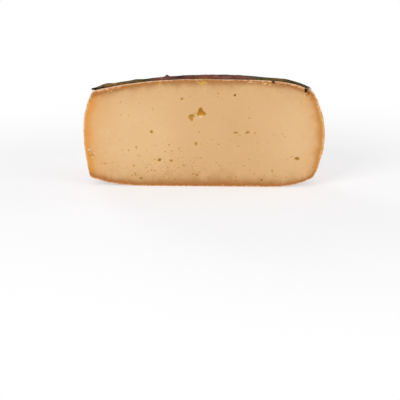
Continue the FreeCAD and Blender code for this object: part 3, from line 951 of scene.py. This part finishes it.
# %% Finish of the rind
def washed_rind():
    material, put, shader, place = finish_of("washed_rind")
    along_wheel = put("Mapping", {"Vector": place, "Scale": (1.0, 1.0, 3.5)})
    patches, creases, bloom, specks, blotches, fine = (
        put("TexNoise", {"Vector": where, "Scale": per_mm(size), "Detail": detail, "Roughness": rough})
        for where, size, detail, rough in (
            (place, 30, 4.0, 0.6), (along_wheel, 5, 5.0, 0.65), (place, 7, 5.0, 0.7),
            (along_wheel, 1.9, 3.0, 0.6), (place, 3.2, 3.0, 0.5), (along_wheel, 1.3, 5.0, 0.7),
        )
    )
    veins = put("TexNoise", {
        "Vector": place, "Scale": per_mm(6.5), "Detail": 3.5, "Roughness": 0.62, "Distortion": 0.9,
    })
    stained, pitted, inwards, on_wall_share, in_hole = (
        put("Attribute", attribute_name=name).outputs["Fac"]
        for name in ("stain", "pit", "skin", "wall", "hole")
    )
    height = put("SeparateXYZ", {"Vector": place}).outputs["Z"]
    off_middle = put("Math", {0: veins, 1: 0.5}, operation="SUBTRACT")
    ridge = put("Math", {0: off_middle}, operation="ABSOLUTE")
    shade, dusty, dots, foot, curls, broken, anywhere, on_cut, dry = (
        put("MapRange", dict(zip(RANGE, row)))
        for row in (
            (creases, 0.42, 0.72, 0, 0.5), (bloom, 0.55, 0.75, 0, 0.55), (specks, 0.61, 0.7, 0, 0.7),
            (height, 2 * MM, 30 * MM, 0.6, 0), (ridge, 0.008, 0.065, 1, 0), (bloom, 0.6, 0.42, 0, 1),
            (patches, 0.55, 0.4, 0, 0.4), (inwards, 0, 0.1, 0, 1), (bloom, 0.3, 0.7, 0.72, 0.92),
        )
    )
    spread = put("Math", {0: stained, 1: anywhere}, operation="MAXIMUM")
    curls = put("Math", {0: curls, 1: broken}, operation="MULTIPLY")
    curls = put("Math", {0: curls, 1: spread}, operation="MULTIPLY")
    tan = put("Math", {0: stained, 1: 0.42}, operation="MULTIPLY")
    deeper = put("Math", {0: blotches, 1: 2.0, 2: inwards}, operation="MULTIPLY_ADD")
    deeper = put("Math", {0: deeper, 1: 1.05}, operation="SUBTRACT")
    crust, side = (
        put("ValToRGB", {"Fac": deeper}, stops=stops)
        for stops in (
            ((0.0, "#e8bf98"), (0.3, "#d69b68"), (0.6, "#bf8048"), (1.0, "#aa6a32")),
            ((0.0, "#efcba4"), (0.4, "#e4aa68"), (1.0, "#d99a4c")),
        )
    )
    inside = put("Mix", {"Factor": on_wall_share, "A": crust, "B": side}, data_type="RGBA")
    colour = put("ValToRGB", {"Fac": patches}, stops=((0.3, "#e0b293"), (0.5, "#e9c4aa"), (0.7, "#f1d5c0")))
    for share, tint in (
        (shade, "#c8977a"), (dusty, "#f4ddca"), (dots, "#97694a"), (foot, "#d69c68"), (curls, "#94602f"),
        # Near black in the deepest holes on the cut edge: painted shade.
        (tan, "#c79460"), (pitted, "#5d3820"), (on_cut, inside), (in_hole, "#35180c"),
    ):
        colour = put("Mix", {"Factor": share, "A": colour, "B": tint}, data_type="RGBA")
    relief = put("Math", {0: fine, 1: creases}, operation="ADD")
    feed(shader, {
        "Base Color": colour, "Roughness": dry, "Specular IOR Level": 0.3,
        "Normal": put("Bump", {"Height": relief, "Strength": 0.6, "Distance": 0.5 * MM}),
    })
    return material


rind.data.materials.append(washed_rind())
print("rind finish:", len(rind.data.materials[0].node_tree.nodes), "nodes")

# %% [markdown]
# ### Paper
#
# Label paper is uncoated and printed in a few flat inks: a green border with a pale line, a meadow
# green band with short strokes of darker green, a plain ring and a mauve middle. The print here is a
# pattern of its own, worked out from the distance to the middle of the label and the angle round it:
# lozenges and dots in the band, a rosette of petals in the middle. Damp and fat from the cheese dull
# every ink and darken it in patches. The brown along the cut and the near-black patches near it and in
# the crease of a flap are partly damp and browning, and partly painted shade. The paper is given no
# shine at all: on a sheet seen almost edge-on, even a faint one would turn the inks grey.

# %% The print, ring by ring and motif by motif
RING_REACH = 120.0
BAND_MIDDLE, BAND_HALF = 79.5, 19.5
MOTIFS, PETALS = 18, 9
# Each ring of flat ink: the radius in mm at which it starts, and its colour.
RINGS = (
    (0, "#b97d34"), (8.5, "#54303a"), (9.8, "#8f5e56"), (45.5, "#7f3f3a"), (46.7, "#8f5e56"),
    (52.5, "#1f4f34"), (54.5, "#a3a077"), (55.4, "#20603f"), (60, "#6c7438"), (99.2, "#17382a"),
    (100.1, "#b3ae88"), (101.3, "#17382a"), (102, "#256646"),
)
# Each motif: place in the repeat, radius, half its width and height, 1 for a lozenge or 2 for an oval.
MOTIF_ROWS = (
    (0.25, 79, 4, 11, 1, "#a03a3c"), (0.25, 79, 1.7, 5, 1, "#cf9f8c"),
    (0.75, 84, 4.4, 4.4, 2, "#c67c22"), (0.75, 84, 2, 2, 2, "#7c3a1e"),
    (0.75, 69.5, 1.7, 2.8, 2, "#b98f3a"), (0.5, 94.2, 3.6, 2.6, 2, "#c08a34"),
    (0.5, 41, 2.3, 2.3, 2, "#a0363a"), (0, 41, 1.1, 1.1, 2, "#d3a9a0"),
)
# Each row of petals: the radius at its foot, its length and its colour.
PETAL_ROWS = ((11, 25, "#5f3c47"), (10, 20.5, "#a97870"), (9, 13, "#7d3b40"))
print(len(RINGS), "rings,", len(MOTIF_ROWS), "motifs,", MOTIFS, "times round, and", PETALS, "petals")

# %% Finish of the paper
def printed_paper():
    material, put, shader, place = finish_of("printed_paper")
    flat = put("Mapping", {
        "Vector": place, "Location": (-LABEL_SHIFT, -CUT, 0.0), "Scale": (1 / MM, 1 / MM, 0.0),
    })
    radius = put("VectorMath", {0: flat}, operation="LENGTH")
    sides = put("SeparateXYZ", {"Vector": flat})
    angle = put("Math", {0: sides.outputs["Y"], 1: sides.outputs["X"]}, operation="ARCTAN2")
    reach = put("Math", {0: radius, 1: RING_REACH}, operation="DIVIDE")
    colour = put("ValToRGB", {"Fac": reach}, stops=[(start / RING_REACH, chart) for start, chart in RINGS])
    colour.color_ramp.interpolation = "CONSTANT"

    strokes_at = put("CombineXYZ", {
        "X": put("Math", {0: angle, 1: BAND_MIDDLE}, operation="MULTIPLY"),
        "Y": put("Math", {0: radius, 1: 0.16}, operation="MULTIPLY"),
    })
    strokes = put("TexNoise", {"Vector": strokes_at, "Scale": 0.62, "Detail": 3.0, "Roughness": 0.6})
    grass = put("ValToRGB", {"Fac": strokes}, stops=(
        (0.36, "#27452a"), (0.45, "#525f30"), (0.54, "#8d8446"), (0.66, "#b5a468"),
    ))
    layers = [(put("Math", {0: radius, 1: BAND_MIDDLE, 2: BAND_HALF}, operation="COMPARE"), grass)]

    turns = put("Math", {0: angle, 1: MOTIFS / (2 * HALF_TURN)}, operation="MULTIPLY")
    for shift, height, half_width, half_height, power, chart in MOTIF_ROWS:
        across, upward = turns, radius
        widths_round = 2 * HALF_TURN * height / MOTIFS / half_width
        for operation, number in (
            ("ADD", shift), ("WRAP", 1), ("SUBTRACT", 0.5), ("MULTIPLY", widths_round), ("ABSOLUTE", 0),
            ("POWER", power),
        ):
            across = put("Math", {0: across, 1: number, 2: 0}, operation=operation)
        for operation, number in (
            ("SUBTRACT", height), ("DIVIDE", half_height), ("ABSOLUTE", 0), ("POWER", power),
            ("ADD", across),
        ):
            upward = put("Math", {0: upward, 1: number}, operation=operation)
        layers.append((put("Math", {0: upward, 1: 1.0}, operation="LESS_THAN"), chart))

    petal = angle
    for operation, number in (("MULTIPLY", PETALS / 2), ("SINE", 0.0), ("ABSOLUTE", 0.0), ("POWER", 0.7)):
        petal = put("Math", {0: petal, 1: number}, operation=operation)
    off_disc = put("Math", {0: radius, 1: PETAL_ROWS[0][0]}, operation="GREATER_THAN")
    for start, length, chart in PETAL_ROWS:
        tip = put("Math", {0: petal, 1: length, 2: start}, operation="MULTIPLY_ADD")
        leaf = put("Math", {0: radius, 1: tip}, operation="LESS_THAN")
        layers.append((put("Math", {0: leaf, 1: off_disc}, operation="MULTIPLY"), chart))

    damp = put("TexNoise", {"Vector": place, "Scale": per_mm(22), "Detail": 5.0, "Roughness": 0.65})
    layers.append((put("MapRange", dict(zip(RANGE, (damp, 0.35, 0.7, 0.08, 0.5)))), "#4f3323"))
    # Brown along the cut is partly browning, partly painted shade.
    for name, most, chart in (
        # The near-black patches: partly damp, partly painted shade.
        ("soiled", 0.7, "#8c5734"), ("folded", 0.9, "#2a1f14"), ("back", 1.0, "#5b5238"),
    ):
        stored = put("Attribute", attribute_name=name).outputs["Fac"]
        layers.append((put("Math", {0: stored, 1: most}, operation="MULTIPLY"), chart))
    for share, tint in layers:
        colour = put("Mix", {"Factor": share, "A": colour, "B": tint}, data_type="RGBA")
    fibres = put("TexNoise", {"Vector": place, "Scale": per_mm(1.4), "Detail": 4.0})
    feed(shader, {
        "Base Color": colour, "Roughness": put("MapRange", dict(zip(RANGE, (damp, 0.3, 0.7, 0.85, 0.7)))),
        "Normal": put("Bump", {"Height": fibres, "Strength": 0.35, "Distance": 0.2 * MM}),
        "Specular IOR Level": 0.0,
    })
    return material


label.data.materials.append(printed_paper())
print("paper finish:", len(label.data.materials[0].node_tree.nodes), "nodes")

# %% [markdown]
# ## Table, light and camera
#
# A pack shot of food is lit by one broad soft lamp from the upper left, a weaker one from the right and
# a bright room. Two low lamps stand behind, so that the rind at the back is not left in the dark; they
# are low because light from above would wash out the print on the crown. The table is a pale sheet.
# The camera sees it almost white, but it still takes the shadow of the cheese, and well away from the
# cheese it turns to plain white, so that it meets the white background without a line.

# %% Pale floor
FLOOR_HALF = 3.0
WHITE = "#ffffff"


def by_eye(put):
    """One for what the camera sees, straight or in a gloss, and nought for the light that things get."""
    seen = put("LightPath").outputs
    return put("Math", {0: seen["Is Camera Ray"], 1: seen["Is Glossy Ray"]}, operation="MAXIMUM")


def pale_sheet():
    material, put, shader, place = finish_of("pale_sheet")
    material.node_tree.nodes.remove(shader)
    watched = by_eye(put)
    lift = put("Math", {0: watched, 1: 0.5}, operation="MULTIPLY")
    matt = put("BsdfDiffuse", {"Color": "#bcbcbf"})
    lifted = put("AddShader", {0: matt, 1: put("Emission", {"Color": WHITE, "Strength": lift})})
    far = put("VectorMath", {0: place}, operation="LENGTH")
    away = put("MapRange", dict(zip(RANGE, (far, 0.22, 0.6, 0.0, 1.0))), interpolation_type="SMOOTHSTEP")
    plain = put("Math", {0: away, 1: watched}, operation="MULTIPLY")
    both = put("MixShader", {0: plain, 1: lifted, 2: put("Emission", {"Color": WHITE, "Strength": 1.0})})
    feed(material.node_tree.nodes["Material Output"], {"Surface": both})
    return material


sheet = bpy.data.meshes.new("floor")
corners = [(x * FLOOR_HALF, y * FLOOR_HALF, 0) for x, y in ((-1, -1), (1, -1), (1, 1), (-1, 1))]
sheet.from_pydata(corners, [], [(0, 1, 2, 3)])
floor = bpy.data.objects.new("floor", sheet)
bpy.context.scene.collection.objects.link(floor)
sheet.materials.append(pale_sheet())
print("floor", 2 * FLOOR_HALF, "m wide")

# %% Room light and lamps
ROOM = 0.44
LAMP_AIM = (0.0, 0.0, 0.05)
# Each lamp: its name, where it stands in metres, its width in metres, its watts and its colour.
LAMPS = (
    ("key", (-0.9, -1.5, 0.8), 0.9, 19.4, (1.0, 0.99, 0.98)),
    ("fill", (1.45, -1.05, 0.5), 1.1, 11.0, (1.0, 1.0, 1.0)),
    ("back", (-0.7, 1.35, 0.3), 0.56, 14.0, (1.0, 0.99, 0.98)),
    ("side", (1.45, 0.45, 0.3), 0.56, 7.0, (1.0, 1.0, 1.0)),
)


def bright_room():
    world = bpy.data.worlds.new("bright_room")
    world.use_nodes = True
    world.node_tree.nodes.remove(world.node_tree.nodes["Background"])
    put = functools.partial(add, world.node_tree)
    light = put("Background", {"Color": (1.0, 0.99, 0.98, 1.0), "Strength": ROOM})
    white = put("Background", {"Color": WHITE, "Strength": 1.0})
    both = put("MixShader", {0: by_eye(put), 1: light, 2: white})
    feed(world.node_tree.nodes["World Output"], {"Surface": both})
    return world


bpy.context.scene.world = bright_room()
for name, place, size, watts, tint in LAMPS:
    lamp = bpy.data.lights.new(name, "AREA")
    lamp.size, lamp.energy, lamp.color = size, watts, tint
    holder = bpy.data.objects.new(name, lamp)
    bpy.context.scene.collection.objects.link(holder)
    east, north, up = np.array(LAMP_AIM) - np.array(place)
    holder.location = place
    holder.rotation_euler = (math.atan2(math.hypot(east, north), -up), 0, math.atan2(east, -north) + math.pi)
print("room", ROOM, "and", len(LAMPS), "lamps")

# %% [markdown]
# The camera stands a little over a metre away and looks down by about thirteen degrees at a point
# under the cheese, which so stands in the upper half of the frame, with the crown seen almost edge-on.

# %% Camera
LENS = 100.0
STAND_OFF = 1.0955
EYE_HEIGHT = 0.2517
AIM = (-0.0059, CUT * MM, -0.0142)
ROLL = math.radians(-0.5)

camera_data = bpy.data.cameras.new("camera")
camera_data.lens = LENS
camera_data.clip_end = 20.0
camera = bpy.data.objects.new("camera", camera_data)
bpy.context.scene.collection.objects.link(camera)
camera.location = (AIM[0], CUT * MM - STAND_OFF, EYE_HEIGHT)
camera.rotation_euler = (math.atan2(STAND_OFF, EYE_HEIGHT - AIM[2]), ROLL, 0)
bpy.context.scene.camera = camera
bpy.context.scene.view_settings.view_transform = "Standard"
print("camera looks down by", round(math.degrees(math.atan2(EYE_HEIGHT - AIM[2], STAND_OFF)), 1), "degrees")
